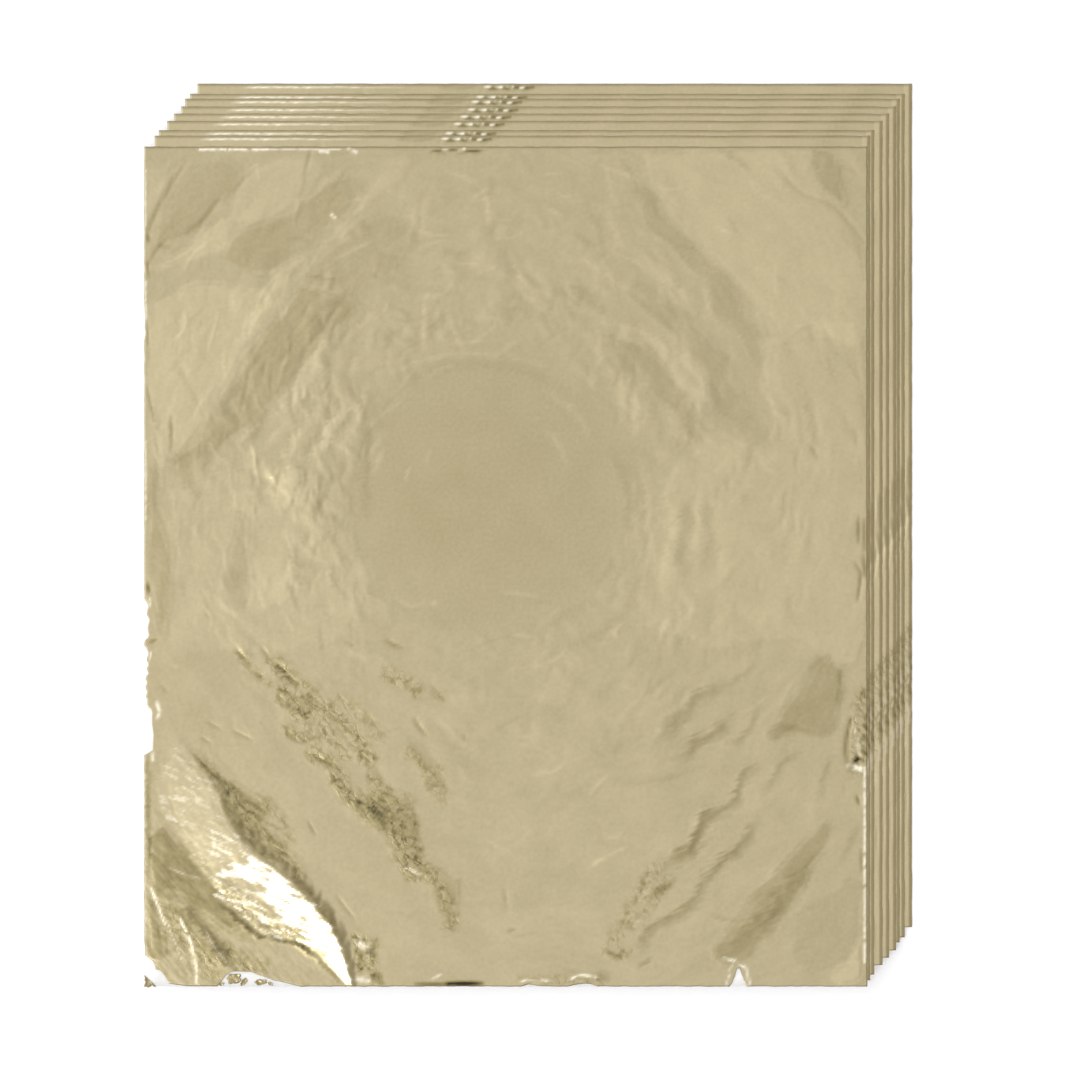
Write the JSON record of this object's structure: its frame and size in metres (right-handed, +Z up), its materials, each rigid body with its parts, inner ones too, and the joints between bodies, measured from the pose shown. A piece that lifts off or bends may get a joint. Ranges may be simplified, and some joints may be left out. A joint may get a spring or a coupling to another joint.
{
  "type": "pack of gold leaf",
  "caption": "Loose fanned pack of crinkled champagne-gold metal leaves, each lying on a flush interleaf tissue, for gilding.",
  "frame": {"origin": "on the table under the middle of the fanned pack's bounding box", "axes": "+Y along the leaves' longer side, the way the fan steps up; +X to the right, the way it steps sideways; +Z up out of the top leaf"},
  "size_m": [0.128, 0.1506, 0.0039],
  "materials": {
    "leaf_metal": "satin",
    "tissue_paper": "matte"
  },
  "bodies": {
    "tissue_1": {"tissue_1": "tissue_paper"},
    "gold_leaf_1": {"gold_leaf_1": "leaf_metal"},
    "tissue_2": {"tissue_2": "tissue_paper"},
    "gold_leaf_2": {"gold_leaf_2": "leaf_metal"},
    "tissue_3": {"tissue_3": "tissue_paper"},
    "gold_leaf_3": {"gold_leaf_3": "leaf_metal"},
    "tissue_4": {"tissue_4": "tissue_paper"},
    "gold_leaf_4": {"gold_leaf_4": "leaf_metal"},
    "tissue_5": {"tissue_5": "tissue_paper"},
    "gold_leaf_5": {"gold_leaf_5": "leaf_metal"},
    "tissue_6": {"tissue_6": "tissue_paper"},
    "gold_leaf_6": {"gold_leaf_6": "leaf_metal"},
    "tissue_7": {"tissue_7": "tissue_paper"},
    "gold_leaf_7": {"gold_leaf_7": "leaf_metal"},
    "tissue_8": {"tissue_8": "tissue_paper"},
    "gold_leaf_8": {"gold_leaf_8": "leaf_metal"},
    "tissue_9": {"tissue_9": "tissue_paper", "leaf_flakes": "leaf_metal"},
    "gold_leaf_9": {"gold_leaf_9": "leaf_metal"}
  },
  "joints": [
    {"name": "leaf_1_lift", "type": "slide", "parent": "tissue_1", "child": "gold_leaf_1", "axis": [0, 0, 1], "range_m": [0, 0.025]},
    {"name": "tissue_2_slide", "type": "slide", "parent": "gold_leaf_1", "child": "tissue_2", "axis": [-0.5856, -0.8106, 0], "range_m": [-0.0021, 0.03]},
    {"name": "leaf_2_lift", "type": "slide", "parent": "tissue_2", "child": "gold_leaf_2", "axis": [0, 0, 1], "range_m": [0, 0.025]},
    {"name": "tissue_3_slide", "type": "slide", "parent": "gold_leaf_2", "child": "tissue_3", "axis": [-0.7127, -0.7015, 0], "range_m": [-0.00118, 0.03]},
    {"name": "leaf_3_lift", "type": "slide", "parent": "tissue_3", "child": "gold_leaf_3", "axis": [0, 0, 1], "range_m": [0, 0.025]},
    {"name": "tissue_4_slide", "type": "slide", "parent": "gold_leaf_3", "child": "tissue_4", "axis": [-0.4213, -0.9069, 0], "range_m": [-0.00145, 0.03]},
    {"name": "leaf_4_lift", "type": "slide", "parent": "tissue_4", "child": "gold_leaf_4", "axis": [0, 0, 1], "range_m": [0, 0.025]},
    {"name": "tissue_5_slide", "type": "slide", "parent": "gold_leaf_4", "child": "tissue_5", "axis": [-0.703, -0.7111, 0], "range_m": [-0.00169, 0.03]},
    {"name": "leaf_5_lift", "type": "slide", "parent": "tissue_5", "child": "gold_leaf_5", "axis": [0, 0, 1], "range_m": [0, 0.025]},
    {"name": "tissue_6_slide", "type": "slide", "parent": "gold_leaf_5", "child": "tissue_6", "axis": [-0.6712, -0.7412, 0], "range_m": [-0.00165, 0.03]},
    {"name": "leaf_6_lift", "type": "slide", "parent": "tissue_6", "child": "gold_leaf_6", "axis": [0, 0, 1], "range_m": [0, 0.025]},
    {"name": "tissue_7_slide", "type": "slide", "parent": "gold_leaf_6", "child": "tissue_7", "axis": [-0.6637, -0.748, 0], "range_m": [-0.0021, 0.03]},
    {"name": "leaf_7_lift", "type": "slide", "parent": "tissue_7", "child": "gold_leaf_7", "axis": [0, 0, 1], "range_m": [0, 0.025]},
    {"name": "tissue_8_slide", "type": "slide", "parent": "gold_leaf_7", "child": "tissue_8", "axis": [-0.5981, -0.8014, 0], "range_m": [-0.00116, 0.03]},
    {"name": "leaf_8_lift", "type": "slide", "parent": "tissue_8", "child": "gold_leaf_8", "axis": [0, 0, 1], "range_m": [0, 0.025]},
    {"name": "tissue_9_slide", "type": "slide", "parent": "gold_leaf_8", "child": "tissue_9", "axis": [-0.6046, -0.7965, 0], "range_m": [-0.00179, 0.03]},
    {"name": "leaf_9_lift", "type": "slide", "parent": "tissue_9", "child": "gold_leaf_9", "axis": [0, 0, 1], "range_m": [0, 0.025]}
  ]
}
